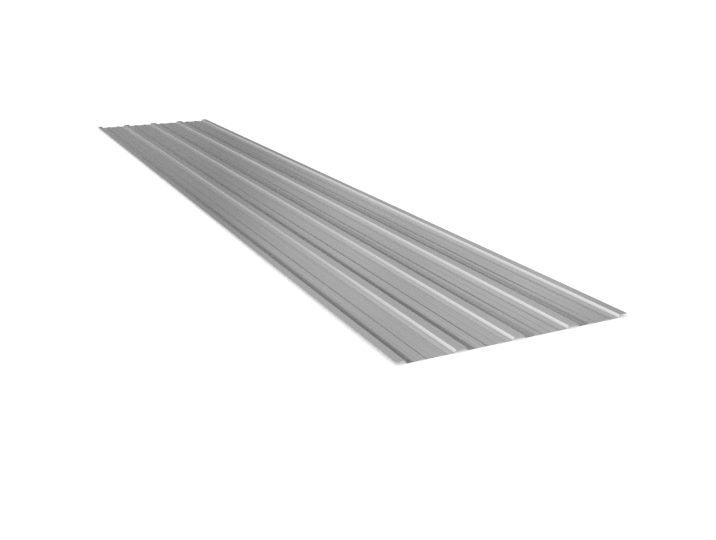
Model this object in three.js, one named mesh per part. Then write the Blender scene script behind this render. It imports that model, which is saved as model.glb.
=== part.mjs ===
// Trapezoidal corrugated steel sheet, roll-formed from one flat strip.
// Full ribs stand at one pitch, an open edge rib runs along each long side for the side lap,
// and each wide pan between two ribs carries shallow stiffening ribs.
// Millimetres. X runs across the sheet, Y along it and Z up. The pans lie on Z = 0.

import * as THREE from 'three';

// Driving dimensions
const sheetLength = 5800;
const sheetThickness = 0.7;
const ribPitch = 250; // centre of one rib to centre of the next
const pitchCount = 4; // the cover width is this many pitches
const ribHeight = 12.5; // how far a rib's crown is raised over the pans
const crownWidth = 42.5; // flat top of a full rib, corner to corner
const edgeCrownWidth = 35; // flat top of an edge rib, cut edge to corner
const ribFlankRun = 8.2; // width taken by one sloping side of a rib
const stiffenerCount = 2; // in each pan
const stiffenerSpacing = 81; // centre to centre inside one pan
const stiffenerShift = 3; // each group sits this much nearer the sheet's middle than its pan's does
const stiffenerHeight = 3.5;
const stiffenerCrownWidth = 22;
const stiffenerFlankRun = 8;
const bendRadius = 2.5; // inside face of every bend
const arcSegments = 2; // an arc of the outline becomes twice this many flats

// Everything below is worked out from the sizes above. The section is drawn in (x, z) along the
// middle of the metal, so a face of the sheet lies half a thickness to either side of that line.
const halfThickness = sheetThickness / 2;
const middleBendRadius = bendRadius + halfThickness;
const firstRibCentre = -(ribPitch * pitchCount) / 2;

// Corners of one raised rib or stiffener, left to right, standing on the pan.
function raisedCorners(centre, topWidth, flankRun, height) {
  const top = topWidth / 2;
  const foot = top + flankRun;
  return [
    new THREE.Vector2(centre - foot, 0),
    new THREE.Vector2(centre - top, height),
    new THREE.Vector2(centre + top, height),
    new THREE.Vector2(centre + foot, 0),
  ];
}

// Corners of the whole section from the left cut edge to the right one.
function sectionCorners() {
  const corners = [];
  for (let pitch = 0; pitch <= pitchCount; pitch += 1) {
    const ribCentre = firstRibCentre + pitch * ribPitch;
    corners.push(...raisedCorners(ribCentre, crownWidth, ribFlankRun, ribHeight));
    if (pitch === pitchCount) break;
    const panCentre = ribCentre + ribPitch / 2;
    const groupCentre = panCentre - Math.sign(panCentre) * stiffenerShift;
    for (let index = 0; index < stiffenerCount; index += 1) {
      const centre = groupCentre + (index - (stiffenerCount - 1) / 2) * stiffenerSpacing;
      corners.push(...raisedCorners(centre, stiffenerCrownWidth, stiffenerFlankRun, stiffenerHeight));
    }
  }
  // Both outer ribs are slit along their crowns: the foot and shoulder beyond the cut go,
  // and the strip starts and ends at the cut edges.
  const inner = corners.slice(2, -2);
  const leftEdge = new THREE.Vector2(inner[0].x - edgeCrownWidth, ribHeight);
  const rightEdge = new THREE.Vector2(inner[inner.length - 1].x + edgeCrownWidth, ribHeight);
  return [leftEdge, ...inner, rightEdge];
}

// One bend: where its arcs are centred, the angles they run between and the way they turn.
function bendAt(before, corner, after) {
  const arriving = corner.clone().sub(before).normalize();
  const leaving = after.clone().sub(corner).normalize();
  const turn = Math.asin(arriving.cross(leaving));
  const side = Math.sign(turn);
  const tangentLength = middleBendRadius * Math.tan(Math.abs(turn) / 2);
  const inwards = new THREE.Vector2(-arriving.y, arriving.x).multiplyScalar(side);
  const centre = corner.clone()
    .addScaledVector(arriving, -tangentLength)
    .addScaledVector(inwards, middleBendRadius);
  const startAngle = Math.atan2(-inwards.y, -inwards.x);
  return { centre, startAngle, endAngle: startAngle + turn, side };
}

// Closed outline of the section: along the upper face to the right, back along the lower face.
function sectionOutline() {
  const corners = sectionCorners();
  const bends = [];
  for (let index = 1; index < corners.length - 1; index += 1) {
    bends.push(bendAt(corners[index - 1], corners[index], corners[index + 1]));
  }
  const left = corners[0];
  const right = corners[corners.length - 1];
  const outline = new THREE.Shape();
  outline.moveTo(left.x, left.y - halfThickness);
  outline.lineTo(left.x, left.y + halfThickness);
  for (const bend of bends) {
    const radius = middleBendRadius - bend.side * halfThickness;
    outline.absarc(bend.centre.x, bend.centre.y, radius, bend.startAngle, bend.endAngle, bend.side < 0);
  }
  outline.lineTo(right.x, right.y + halfThickness);
  outline.lineTo(right.x, right.y - halfThickness);
  for (const bend of bends.reverse()) {
    const radius = middleBendRadius + bend.side * halfThickness;
    outline.absarc(bend.centre.x, bend.centre.y, radius, bend.endAngle, bend.startAngle, bend.side > 0);
  }
  outline.closePath();
  return outline;
}

// The strip: the section drawn out along Y, centred on the origin, with the pans on Z = 0.
function corrugatedSheet() {
  const geometry = new THREE.ExtrudeGeometry(sectionOutline(), {
    depth: sheetLength,
    steps: 1,
    bevelEnabled: false,
    curveSegments: arcSegments,
  });
  geometry.rotateX(Math.PI / 2);
  geometry.translate(0, sheetLength / 2, halfThickness);
  const zincCoatedSteel = new THREE.MeshStandardMaterial({
    color: 0xb9b9b9,
    metalness: 1,
    roughness: 0.38,
  });
  const mesh = new THREE.Mesh(geometry, zincCoatedSteel);
  mesh.name = 'corrugated_sheet';
  return mesh;
}

const part = new THREE.Group();
part.add(corrugatedSheet());

export default part;
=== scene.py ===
import math

import bpy
from mathutils import Matrix, Vector


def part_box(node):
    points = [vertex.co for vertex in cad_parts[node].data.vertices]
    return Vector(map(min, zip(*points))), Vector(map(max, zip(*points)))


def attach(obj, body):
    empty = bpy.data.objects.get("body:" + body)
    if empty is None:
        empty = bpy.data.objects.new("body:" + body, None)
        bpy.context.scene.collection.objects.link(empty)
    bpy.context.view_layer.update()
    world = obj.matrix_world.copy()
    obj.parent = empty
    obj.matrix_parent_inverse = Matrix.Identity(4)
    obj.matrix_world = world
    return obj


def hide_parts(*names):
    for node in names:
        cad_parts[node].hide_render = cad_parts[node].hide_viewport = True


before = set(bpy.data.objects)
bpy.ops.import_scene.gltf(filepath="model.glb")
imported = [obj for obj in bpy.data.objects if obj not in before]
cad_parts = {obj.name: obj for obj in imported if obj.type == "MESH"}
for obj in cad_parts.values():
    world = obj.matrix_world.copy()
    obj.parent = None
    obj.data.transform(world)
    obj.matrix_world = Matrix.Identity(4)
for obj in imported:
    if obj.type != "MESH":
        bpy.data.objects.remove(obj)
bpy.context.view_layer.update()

mm = 0.001


def linearColour(hexColour):
    channels = [int(hexColour[i:i + 2], 16) / 255 for i in (1, 3, 5)]
    linear = [c / 12.92 if c <= 0.04045 else ((c + 0.055) / 1.055) ** 2.4 for c in channels]
    return (*linear, 1.0)


def addNode(tree, kind, settings=None, links=None):
    node = tree.nodes.new(kind)
    for name, value in (settings or {}).items():
        if isinstance(name, str) and hasattr(node, name):
            setattr(node, name, value)
        else:
            node.inputs[name].default_value = value
    for socket, source in (links or {}).items():
        tree.links.new(source, node.inputs[socket])
    return node


def newMaterial(name):
    material = bpy.data.materials.new(name)
    material.use_nodes = True
    material.node_tree.nodes.clear()
    return material, material.node_tree


def finishMaterial(tree, surface):
    output = addNode(tree, "ShaderNodeOutputMaterial")
    tree.links.new(surface, output.inputs["Surface"])


def addObject(name, data):
    made = bpy.data.objects.new(name, data)
    bpy.context.scene.collection.objects.link(made)
    return made


sheetForm = {
    "ribPitch": 250 * mm,
    "pitchCount": 4,
    "ribHeight": 12.5 * mm,
    "crownWidth": 42.5 * mm,
    "edgeCrownWidth": 35 * mm,
    "ribFlankRun": 8.2 * mm,
    "stiffenerSpacing": 81 * mm,
    "stiffenerShift": 3 * mm,  # towards the sheet's middle
    "stiffenerHeight": 3.5 * mm,
    "stiffenerCrownWidth": 22 * mm,
    "stiffenerFlankRun": 8 * mm,
    "bendRadius": 2.5 * mm,  # inside face
    "bendStep": math.radians(9.5),  # one facet of a bend turns about this much
    "fewestFacets": 2,  # in the shallowest bend
    "widestColumn": 7 * mm,  # flats are divided into columns no wider than this
    "bendHighlightShadeWidth": 3 * mm,  # how far the painted highlight and shade run out from a bend
    "bendHighlightShadeLimit": 1 / 3,  # of a short flat, at each of its ends
    "rowLength": 100 * mm,  # one row of faces along the sheet
    "ribLean": math.radians(21),  # how far the shading leans at a rib's foot
    "ribLeanReach": (40 * mm, 52 * mm),  # left and right of a rib
    "stiffenerLean": (math.radians(5), math.radians(14)),  # left and right slope
    "stiffenerLeanReach": 12 * mm,  # out from the foot of a slope
}
zincFace, shearedFace = 0, 1  # the sheet's two materials, in their order


def raisedCorners(centre, topWidth, flankRun, height):
    top = topWidth / 2
    foot = top + flankRun
    return [(centre - foot, 0), (centre - top, height), (centre + top, height), (centre + foot, 0)]


def sectionCorners(form):
    corners = []
    firstRib = -form["ribPitch"] * form["pitchCount"] / 2
    for pitch in range(form["pitchCount"] + 1):
        ribCentre = firstRib + pitch * form["ribPitch"]
        corners += raisedCorners(ribCentre, form["crownWidth"], form["ribFlankRun"], form["ribHeight"])
        if pitch == form["pitchCount"]:
            break
        panCentre = ribCentre + form["ribPitch"] / 2
        groupCentre = panCentre - math.copysign(form["stiffenerShift"], panCentre)
        for side in (-1, 1):
            corners += raisedCorners(
                groupCentre + side * form["stiffenerSpacing"] / 2,
                form["stiffenerCrownWidth"], form["stiffenerFlankRun"], form["stiffenerHeight"],
            )
    inner = corners[2:-2]  # the outer ribs are cut open along their crowns
    leftEdge = (inner[0][0] - form["edgeCrownWidth"], form["ribHeight"])
    rightEdge = (inner[-1][0] + form["edgeCrownWidth"], form["ribHeight"])
    return [Vector(c) for c in (leftEdge, *inner, rightEdge)]


def sectionStations(form, thickness):
    # Places along the middle of the metal, each with the sheet's upward normal there and how
    # hard the rolls bent it: 1 over a crown, -1 under one, 0 on a flat.
    corners = sectionCorners(form)
    radius = form["bendRadius"] + thickness / 2
    stations = [(corners[0], Vector((0, 1)), 0)]
    for before, corner, after in zip(corners, corners[1:], corners[2:]):
        arriving, leaving = (corner - before).normalized(), (after - corner).normalized()
        turn = math.asin(arriving.x * leaving.y - arriving.y * leaving.x)
        side = math.copysign(1, turn)
        upward = Vector((-arriving.y, arriving.x))
        bendStart = corner - arriving * radius * math.tan(abs(turn) / 2)
        centre = bendStart + upward * radius * side
        stations += divideFlat(form, stations[-1][0], bendStart, upward)
        steps = max(form["fewestFacets"], round(abs(turn) / form["bendStep"]))
        for step in range(steps + 1):
            normal = Matrix.Rotation(turn * step / steps, 2) @ upward
            stations.append((centre - normal * radius * side, normal, -side))
    stations += divideFlat(form, stations[-1][0], corners[-1], Vector((0, 1)))
    stations.append((corners[-1], Vector((0, 1)), 0))
    return stations


def divideFlat(form, start, end, normal):
    length = (end - start).length
    margin = min(form["bendHighlightShadeWidth"], length * form["bendHighlightShadeLimit"])
    columns = math.ceil((length - 2 * margin) / form["widestColumn"])
    reached = [margin + (length - 2 * margin) * column / columns for column in range(columns + 1)]
    return [(start.lerp(end, distance / length), normal, 0) for distance in reached]


def litNormal(form, place, normal):
    # The flats are flat. Only their shading leans beside each bend, and fades out across the flat.
    # It is a chosen look and not a property of the metal, and it differs between left and right.
    pitch = form["ribPitch"]
    fromRib = (place.x + pitch / 2) % pitch - pitch / 2
    beyondFoot = abs(fromRib) - form["crownWidth"] / 2 - form["ribFlankRun"]
    bendHalf = form["bendRadius"] * math.tan(math.atan2(form["ribHeight"], form["ribFlankRun"]) / 2)
    if beyondFoot > bendHalf:
        leftReach, rightReach = form["ribLeanReach"]
        reach = rightReach if fromRib > 0 else leftReach
        share = max(0, 1 - (beyondFoot - bendHalf) / reach)
        tilt = stiffenerTilt(form, place.x)
    else:
        share = max(0, 1 + (beyondFoot - bendHalf) / (2 * bendHalf))
        tilt = math.atan2(normal.x, normal.y)
    tilt += math.copysign(form["ribLean"] * share, fromRib)
    return Vector((math.sin(tilt), math.cos(tilt)))


def stiffenerTilt(form, x):
    panCentre = (math.floor(x / form["ribPitch"]) + 0.5) * form["ribPitch"]
    fromGroup = x - panCentre + math.copysign(form["stiffenerShift"], panCentre)
    offset = fromGroup - math.copysign(form["stiffenerSpacing"] / 2, fromGroup)
    beyondFoot = abs(offset) - form["stiffenerCrownWidth"] / 2 - form["stiffenerFlankRun"]
    reach = form["stiffenerLeanReach"] if beyondFoot > 0 else form["stiffenerFlankRun"]
    share = max(0, 1 - abs(beyondFoot) / reach)
    leftLean, rightLean = form["stiffenerLean"]
    return (rightLean if offset > 0 else -leftLean) * share


def flankHighlightShare(form, place, normal):
    # The steep flanks of the ribs carry a painted highlight, strongest near the crown. The shallow
    # stiffeners get none.
    steep = math.atan2(form["ribHeight"], form["ribFlankRun"])
    shallow = math.atan2(form["stiffenerHeight"], form["stiffenerFlankRun"])
    tilt = abs(math.atan2(normal.x, normal.y))
    share = min(1, max(0, (tilt - shallow) / (steep - shallow)))
    return share * (1 + place.y / form["ribHeight"]) / 2


def makeSheet(name, form):
    low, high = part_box("corrugated_sheet")
    thickness = (high.z - low.z) - form["ribHeight"]
    stations = sectionStations(form, thickness)
    lit = [litNormal(form, place, normal) for place, normal, _ in stations]
    sheetLength = high.y - low.y
    rows = round(sheetLength / form["rowLength"])
    developed = [0.0]
    for here, there in zip(stations, stations[1:]):
        developed.append(developed[-1] + (there[0] - here[0]).length)

    vertices, bends, flankHighlight = [], [], []
    for face in (1, -1):  # upper face, then lower face
        for row in range(rows + 1):
            y = low.y + sheetLength * row / rows
            for place, normal, bend in stations:
                point = place + normal * face * thickness / 2
                vertices.append((point.x, y, low.z + thickness / 2 + point.y))
                bends.append(bend * face)
                flankHighlight.append(flankHighlightShare(form, place, normal))

    count = len(stations)
    lowerStart = count * (rows + 1)
    lowerShift = 2 * developed[-1]  # the lower face shows its own stretch of each pattern
    faces, faceNormals, faceMaps, faceKinds = [], [], [], []

    def stripPlace(column, row, face):
        across = developed[column] if face > 0 else developed[column] + lowerShift
        return across, sheetLength * row / rows

    def addFace(corners, normals, places, kind):
        faces.append(corners)
        faceNormals.extend(normals)
        faceMaps.extend(places)
        faceKinds.append(kind)

    for face in (1, -1):
        base = 0 if face > 0 else lowerStart
        for row in range(rows):
            for column in range(count - 1):
                loop = [(column, row), (column + 1, row), (column + 1, row + 1), (column, row + 1)]
                if face < 0:
                    loop.reverse()
                addFace(
                    [base + r * count + c for c, r in loop],
                    [(lit[c].x * face, 0, lit[c].y * face) for c, r in loop],
                    [stripPlace(c, r, face) for c, r in loop],
                    zincFace,
                )
    for row, outward in ((0, -1), (rows, 1)):  # sheared ends
        for column in range(count - 1):
            loop = [(column, 1), (column, -1), (column + 1, -1), (column + 1, 1)]
            if outward > 0:
                loop.reverse()
            addFace(
                [(0 if f > 0 else lowerStart) + row * count + c for c, f in loop],
                [(0, outward, 0)] * 4,
                [(developed[c], thickness / 2 * f) for c, f in loop],
                shearedFace,
            )
    for column, outward in ((0, -1), (count - 1, 1)):  # slit long edges
        for row in range(rows):
            loop = [(row, 1), (row + 1, 1), (row + 1, -1), (row, -1)]
            if outward > 0:
                loop.reverse()
            addFace(
                [(0 if f > 0 else lowerStart) + r * count + column for r, f in loop],
                [(outward, 0, 0)] * 4,
                [(sheetLength * r / rows, thickness / 2 * f) for r, f in loop],
                shearedFace,
            )

    mesh = bpy.data.meshes.new(name)
    mesh.from_pydata(vertices, [], faces)
    strip = mesh.uv_layers.new(name="strip")
    strip.data.foreach_set("uv", [v for place in faceMaps for v in place])
    # The bend sign carries the painted highlight on crowns and the painted shade in feet.
    mesh.attributes.new("rolledBend", "FLOAT", "POINT").data.foreach_set("value", bends)
    # The flank share carries the painted highlight on the rib flanks.
    mesh.attributes.new("paintedFlankHighlight", "FLOAT", "POINT").data.foreach_set("value", flankHighlight)
    mesh.polygons.foreach_set("material_index", faceKinds)
    mesh.polygons.foreach_set("use_smooth", [True] * len(faces))
    mesh.update()
    mesh.normals_split_custom_set(faceNormals)
    print(name, "has", len(faces), "faces, strip", round(developed[-1], 4), "m wide")
    return addObject(name, mesh)


# Hot-dip zinc-coated steel, skin-passed by the mill and then roll-formed: an even, dull, slightly
# milky grey metal with soft lengthwise streaks from the rolls and no large zinc flowers. Sizes are
# across and along the strip, and a share says how much of the tone a pattern moves.
zincFinish = {
    "light": "#B2B2B2",
    "dark": "#A2A2A2",
    "flankHighlight": "#F2F2F2",  # painted highlight on the flanks of the ribs
    "metallic": 0.7,  # the zinc's thin grey oxide haze takes the rest
    "roughness": 0.25,
    "roughnessSpread": 0.05,
    "rollStreaks": {"size": (9 * mm, 1600 * mm), "detail": 2.0, "seed": 1.7, "share": 0.5},
    # Fine streaks are really 0.5 mm wide, and drawn coarser to show.
    "fineStreaks": {"size": (2.5 * mm, 500 * mm), "detail": 1.0, "seed": 5.2, "share": 0.25},
    "zincClouds": {"size": (140 * mm, 520 * mm), "detail": 3.0, "seed": 9.4, "share": 0.35},
    # Skin-passed zinc crystals are really 1 to 2 mm, and drawn coarser to show.
    "zincFlowers": {"size": (7 * mm, 7 * mm), "share": 0.16},
    # Skin-pass texture is really 0.2 mm, and drawn coarser to show.
    "skinPassGrain": {"size": (1.2 * mm, 1.2 * mm), "detail": 2.0, "seed": 2.6},
    "bendHighlightShadeShare": 0.3,  # painted highlight along crowns and painted shade along feet
    "streakDepth": 0.02 * mm,
    "grainDepth": 0.006 * mm,
}


def onStrip(tree, strip, size):
    across, along = size
    return addNode(tree, "ShaderNodeVectorMath", {
        "operation": "MULTIPLY", 1: (1 / across, 1 / along, 1),
    }, {0: strip.outputs["UV"]}).outputs["Vector"]


def movedTone(tree, tone, value, share):
    # The tone, moved by the pattern's swing about its own middle.
    swing = addNode(tree, "ShaderNodeMath", {"operation": "SUBTRACT", 1: 0.5}, {0: value})
    return addNode(tree, "ShaderNodeMath", {"operation": "MULTIPLY_ADD", 1: share}, {
        0: swing.outputs["Value"], 2: tone,
    }).outputs["Value"]


def zincCoatedSteel(finish):
    material, tree = newMaterial("zinc_coated_steel_roll_formed")
    strip = addNode(tree, "ShaderNodeUVMap", {"uv_map": "strip"})
    bend = addNode(tree, "ShaderNodeAttribute", {"attribute_name": "rolledBend"})
    flankHighlightMask = addNode(tree, "ShaderNodeAttribute", {"attribute_name": "paintedFlankHighlight"})

    def pattern(settings):
        return addNode(tree, "ShaderNodeTexNoise", {
            "noise_dimensions": "4D",
            "Scale": 1.0, "Detail": settings["detail"], "W": settings["seed"],
        }, {"Vector": onStrip(tree, strip, settings["size"])}).outputs["Fac"]

    # Painted highlight on convex bends and painted shade in concave ones, then the random tone.
    tone = addNode(tree, "ShaderNodeMath", {
        "operation": "MULTIPLY_ADD", 1: finish["bendHighlightShadeShare"], 2: 0.5,
    }, {0: bend.outputs["Fac"]}).outputs["Value"]
    rollStreaks = pattern(finish["rollStreaks"])
    tone = movedTone(tree, tone, rollStreaks, finish["rollStreaks"]["share"])
    for name in ("fineStreaks", "zincClouds"):
        tone = movedTone(tree, tone, pattern(finish[name]), finish[name]["share"])
    flowers = addNode(tree, "ShaderNodeTexVoronoi", {"feature": "F1", "Scale": 1.0}, {
        "Vector": onStrip(tree, strip, finish["zincFlowers"]["size"]),
    })
    flowerTone = addNode(tree, "ShaderNodeSeparateColor", None, {0: flowers.outputs["Color"]})
    tone = movedTone(tree, tone, flowerTone.outputs["Red"], finish["zincFlowers"]["share"])

    colour = addNode(tree, "ShaderNodeMix", {
        "data_type": "RGBA",
        6: linearColour(finish["dark"]),
        7: linearColour(finish["light"]),
    }, {0: tone})
    # Painted highlight on the rib flanks, strongest near the crown.
    flankHighlightColour = addNode(tree, "ShaderNodeMix", {
        "data_type": "RGBA", 7: linearColour(finish["flankHighlight"]),
    }, {0: flankHighlightMask.outputs["Fac"], 6: colour.outputs[2]})
    rough = addNode(tree, "ShaderNodeMapRange", {
        "From Min": 0.0, "From Max": 1.0,
        "To Min": finish["roughness"] + finish["roughnessSpread"],
        "To Max": finish["roughness"] - finish["roughnessSpread"],
    }, {"Value": tone})
    streakBump = addNode(tree, "ShaderNodeBump", {
        "Strength": 1.0, "Distance": finish["streakDepth"],
    }, {"Height": rollStreaks})
    grainBump = addNode(tree, "ShaderNodeBump", {
        "Strength": 1.0, "Distance": finish["grainDepth"],
    }, {"Height": pattern(finish["skinPassGrain"]), "Normal": streakBump.outputs["Normal"]})
    shader = addNode(tree, "ShaderNodeBsdfPrincipled", {"Metallic": finish["metallic"]}, {
        "Base Color": flankHighlightColour.outputs[2],
        "Roughness": rough.outputs["Result"],
        "Normal": grainBump.outputs["Normal"],
    })
    finishMaterial(tree, shader.outputs["BSDF"])
    return material


# Bare low-carbon steel where the shear and the slitter cut it: a bright burnished lip under the
# upper face, duller torn metal below it, and fine lines straight through the thickness.
shearedFinish = {
    "lip": "#D2D2D2",
    "torn": "#9C9C9C",
    "lipRoughness": 0.3,
    "tornRoughness": 0.55,
    "lipBlend": (0.07 * mm, 0.17 * mm),  # heights above the metal's middle from torn to lip
    "lineSize": (1.5 * mm, 4 * mm),  # real lines 0.1 mm apart, drawn coarser to show
    "lineDetail": 2.0,
    "lineShare": 0.5,
    "lineDepth": 0.01 * mm,
}


def shearedSteel(finish):
    material, tree = newMaterial("low_carbon_steel_sheared")
    strip = addNode(tree, "ShaderNodeUVMap", {"uv_map": "strip"})
    height = addNode(tree, "ShaderNodeSeparateXYZ", None, {"Vector": strip.outputs["UV"]})
    lines = addNode(tree, "ShaderNodeTexNoise", {"Scale": 1.0, "Detail": finish["lineDetail"]}, {
        "Vector": onStrip(tree, strip, finish["lineSize"]),
    })
    lip = addNode(tree, "ShaderNodeMapRange", {
        "interpolation_type": "SMOOTHSTEP",
        "From Min": finish["lipBlend"][0],
        "From Max": finish["lipBlend"][1],
    }, {"Value": height.outputs["Y"]})
    tone = movedTone(tree, lip.outputs["Result"], lines.outputs["Fac"], finish["lineShare"])
    colour = addNode(tree, "ShaderNodeMix", {
        "data_type": "RGBA",
        6: linearColour(finish["torn"]),
        7: linearColour(finish["lip"]),
    }, {0: tone})
    rough = addNode(tree, "ShaderNodeMapRange", {
        "To Min": finish["tornRoughness"], "To Max": finish["lipRoughness"],
    }, {"Value": tone})
    bump = addNode(tree, "ShaderNodeBump", {"Strength": 1.0, "Distance": finish["lineDepth"]}, {
        "Height": lines.outputs["Fac"],
    })
    shader = addNode(tree, "ShaderNodeBsdfPrincipled", {"Metallic": 1.0}, {
        "Base Color": colour.outputs[2],
        "Roughness": rough.outputs["Result"],
        "Normal": bump.outputs["Normal"],
    })
    finishMaterial(tree, shader.outputs["BSDF"])
    return material


sheet = makeSheet("corrugated_sheet_formed", sheetForm)
sheet.data.materials.append(zincCoatedSteel(zincFinish))
sheet.data.materials.append(shearedSteel(shearedFinish))
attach(sheet, "root")
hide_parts("corrugated_sheet")
print("zinc-coated faces and sheared edges have their materials")

cameraSet = {
    "place": Vector((-1.7787, -5.2154, 1.2270)),
    "turnRight": math.radians(25.875),
    "tiltDown": math.radians(18.479),
    "roll": math.radians(-0.294),
    "lens": 42.53,
    "sensor": 36,
    "farthest": 1000,
}


def makeCamera(settings):
    turn, tilt, roll = settings["turnRight"], settings["tiltDown"], settings["roll"]
    forward = Vector((
        math.sin(turn) * math.cos(tilt), math.cos(turn) * math.cos(tilt), -math.sin(tilt),
    ))
    level = Vector((math.cos(turn), -math.sin(turn), 0))
    upright = level.cross(forward)
    right = level * math.cos(roll) + upright * math.sin(roll)
    up = upright * math.cos(roll) - level * math.sin(roll)
    lens = bpy.data.cameras.new("camera")
    lens.sensor_fit = "HORIZONTAL"
    lens.sensor_width = settings["sensor"]
    lens.lens = settings["lens"]
    lens.clip_end = settings["farthest"]
    camera = addObject("camera", lens)
    axes = Matrix((right, up, -forward)).transposed().to_4x4()
    camera.matrix_world = Matrix.Translation(settings["place"]) @ axes
    bpy.context.scene.camera = camera


makeCamera(cameraSet)
print("camera stands in front of the near end, to the left")

floorPaper = {
    "reach": 300.0,
    "colour": "#F7F7F7",
    "ownWhite": 0.25,  # lifts the lit paper to white for the eye and in reflections
}

# The air is white where the floor runs out and pale all round and overhead. Low behind the sheet,
# between the hollow's foot and its top, it is dark, which gives the metal the dark bands beside its
# ribs. Angles are in degrees, azimuths run from the sheet's length towards its right, and heights
# are those of the unit direction.
studioAir = {
    "horizon": 1.0,
    "zenith": 0.83,
    "fade": (0.04, 0.6),  # heights between which the one turns into the other
    "hollowAzimuth": 25,
    "hollowReach": (35, 65),  # fully dark within the first, gone beyond the second
    "hollowFoot": (0.042, 0.074),  # from the horizon's white to dark
    "hollowTop": (0.6, 0.95),  # from dark to the zenith
}

# Soft light boxes far off, which the metal mirrors dully towards the viewer. Each row has azimuth
# and elevation, the angles off its middle where it starts to fade and where it ends, and its level.
softBoxes = {
    "rightLow": (50, 6, 3, 12, 0.98),
    "pansNearRight": (43, 21, 2, 9, 0.36),
    "pansNearMiddle": (36, 18, 2, 8, 0.55),
    "pansNearLeft": (29, 15, 2, 7, 0.47),
    "pansMiddle": (18, 16, 2, 7, 0.26),
    "pansFarRight": (16, 9, 1.5, 4.5, 0.14),
    "pansFarMiddle": (13, 9, 1.5, 4.5, 0.26),
    "stiffeners": (23, 18, 2, 7, 0.71),
    "crowns": (36, 30, 4, 16, 0.68),
    "shouldersNearRight": (24, 36, 3, 11, 0.2),
    "shouldersHigh": (14, 41, 6, 22, 0.71),
    "shouldersMiddle": (10, 30, 4, 14, 0.67),
    "shouldersFarRight": (10, 14, 1.5, 5, 0.36),
    "shouldersFarMiddle": (7, 12, 1.5, 5, 0.38),
    "shouldersFarLeft": (3, 13, 1.5, 5, 1.0),
    "flanksHigh": (-15, 25, 4, 16, 0.9),
    "flanksFar": (-13, 7.5, 2, 6, 0.27),
    "leftSide": (-90, 12, 30, 65, 0.25),
    "rightSide": (64, 16, 6, 18, 0.55),
}

lampSet = {
    "softBoxAboveLeft": {"place": (-4, -3, 6), "aim": (0, 0, 0), "size": (5, 5), "power": 45},
}
white = (1, 1, 1, 1)


def makeFloor(settings):
    reach = settings["reach"]
    corners = [(-reach, -reach, 0), (reach, -reach, 0), (reach, reach, 0), (-reach, reach, 0)]
    mesh = bpy.data.meshes.new("floor")
    mesh.from_pydata(corners, [], [(0, 1, 2, 3)])
    material, tree = newMaterial("floor_paper")
    paper = addNode(tree, "ShaderNodeBsdfDiffuse", {"Color": linearColour(settings["colour"])})
    path = addNode(tree, "ShaderNodeLightPath")
    seen = addNode(tree, "ShaderNodeMath", {"operation": "MAXIMUM"}, {
        0: path.outputs["Is Camera Ray"],
        1: path.outputs["Is Glossy Ray"],
    })
    seenOrThrough = addNode(tree, "ShaderNodeMath", {"operation": "MAXIMUM"}, {
        0: seen.outputs["Value"],
        1: path.outputs["Is Transmission Ray"],
    })
    level = addNode(tree, "ShaderNodeMath", {"operation": "MULTIPLY", 1: settings["ownWhite"]}, {
        0: seenOrThrough.outputs["Value"],
    })
    glow = addNode(tree, "ShaderNodeEmission", {"Color": white}, {
        "Strength": level.outputs["Value"],
    })
    surface = addNode(tree, "ShaderNodeAddShader", None, {
        0: paper.outputs["BSDF"],
        1: glow.outputs["Emission"],
    })
    finishMaterial(tree, surface.outputs["Shader"])
    mesh.materials.append(material)
    addObject("floor", mesh)


def skyDirection(azimuth, elevation=0):
    turn, rise = math.radians(azimuth), math.radians(elevation)
    return (math.sin(turn) * math.cos(rise), math.cos(turn) * math.cos(rise), math.sin(rise))


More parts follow.
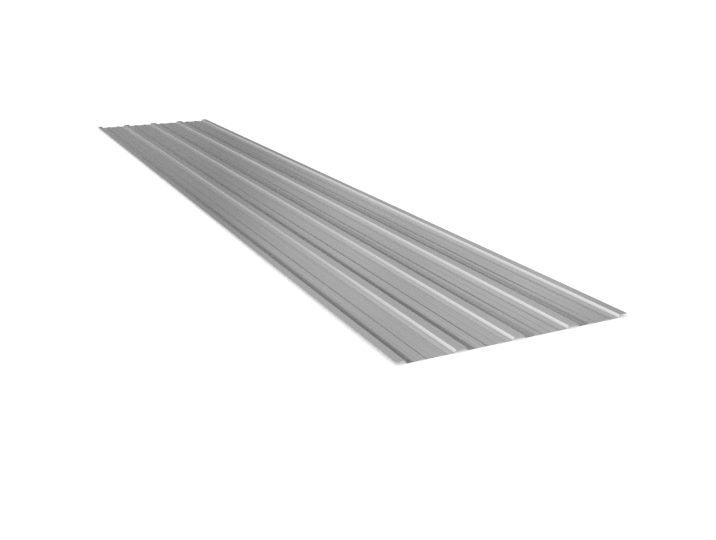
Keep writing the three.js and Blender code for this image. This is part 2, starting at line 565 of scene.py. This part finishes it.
def makeAir(settings, boxes):
    world = bpy.data.worlds.new("studio")
    world.use_nodes = True
    tree = world.node_tree
    tree.nodes.clear()
    direction = addNode(tree, "ShaderNodeTexCoord").outputs["Generated"]
    height = addNode(tree, "ShaderNodeSeparateXYZ", None, {"Vector": direction}).outputs["Z"]

    def ramp(value, span, low, high):
        return addNode(tree, "ShaderNodeMapRange", {
            "interpolation_type": "SMOOTHSTEP",
            "From Min": span[0], "From Max": span[1], "To Min": low, "To Max": high,
        }, {"Value": value}).outputs["Result"]

    def glowAround(source, towards, reach, level):
        nearness = addNode(tree, "ShaderNodeVectorMath", {"operation": "DOT_PRODUCT", 1: towards}, {
            0: source,
        }).outputs["Value"]
        full, gone = (math.cos(math.radians(angle)) for angle in reach)
        return ramp(nearness, (gone, full), 0.0, level)

    def added(first, second):
        return addNode(tree, "ShaderNodeMath", {"operation": "ADD"}, {
            0: first, 1: second,
        }).outputs["Value"]

    openAir = ramp(height, settings["fade"], settings["horizon"], settings["zenith"])
    hollow = added(
        ramp(height, settings["hollowFoot"], settings["horizon"], 0.0),
        ramp(height, settings["hollowTop"], 0.0, settings["zenith"]),
    )
    flat = addNode(tree, "ShaderNodeVectorMath", {"operation": "MULTIPLY", 1: (1, 1, 0)}, {
        0: direction,
    })
    compass = addNode(tree, "ShaderNodeVectorMath", {"operation": "NORMALIZE"}, {
        0: flat.outputs["Vector"],
    }).outputs["Vector"]
    inHollow = glowAround(
        compass, skyDirection(settings["hollowAzimuth"]), settings["hollowReach"], 1.0,
    )
    total = addNode(tree, "ShaderNodeMix", {"data_type": "FLOAT"}, {
        0: inHollow, 2: openAir, 3: hollow,
    }).outputs[0]
    for azimuth, elevation, core, edge, level in boxes.values():
        box = glowAround(direction, skyDirection(azimuth, elevation), (core, edge), level)
        total = added(total, box)
    air = addNode(tree, "ShaderNodeBackground", {"Color": white}, {"Strength": total})
    output = addNode(tree, "ShaderNodeOutputWorld")
    tree.links.new(air.outputs["Background"], output.inputs["Surface"])
    bpy.context.scene.world = world


def makeLamp(name, settings):
    light = bpy.data.lights.new(name, "AREA")
    light.shape = "RECTANGLE"
    light.size, light.size_y = settings["size"]
    light.energy = settings["power"]
    lamp = addObject(name, light)
    place = Vector(settings["place"])
    facing = (place - Vector(settings["aim"])).to_track_quat("Z", "Y").to_matrix().to_4x4()
    lamp.matrix_world = Matrix.Translation(place) @ facing
    lamp.visible_camera = False


makeFloor(floorPaper)
makeAir(studioAir, softBoxes)
for lampName, lampSettings in lampSet.items():
    makeLamp(lampName, lampSettings)
print("floor, air,", len(softBoxes), "soft boxes and", len(lampSet), "lamps are set")

bpy.context.scene.view_settings.view_transform = "Standard"
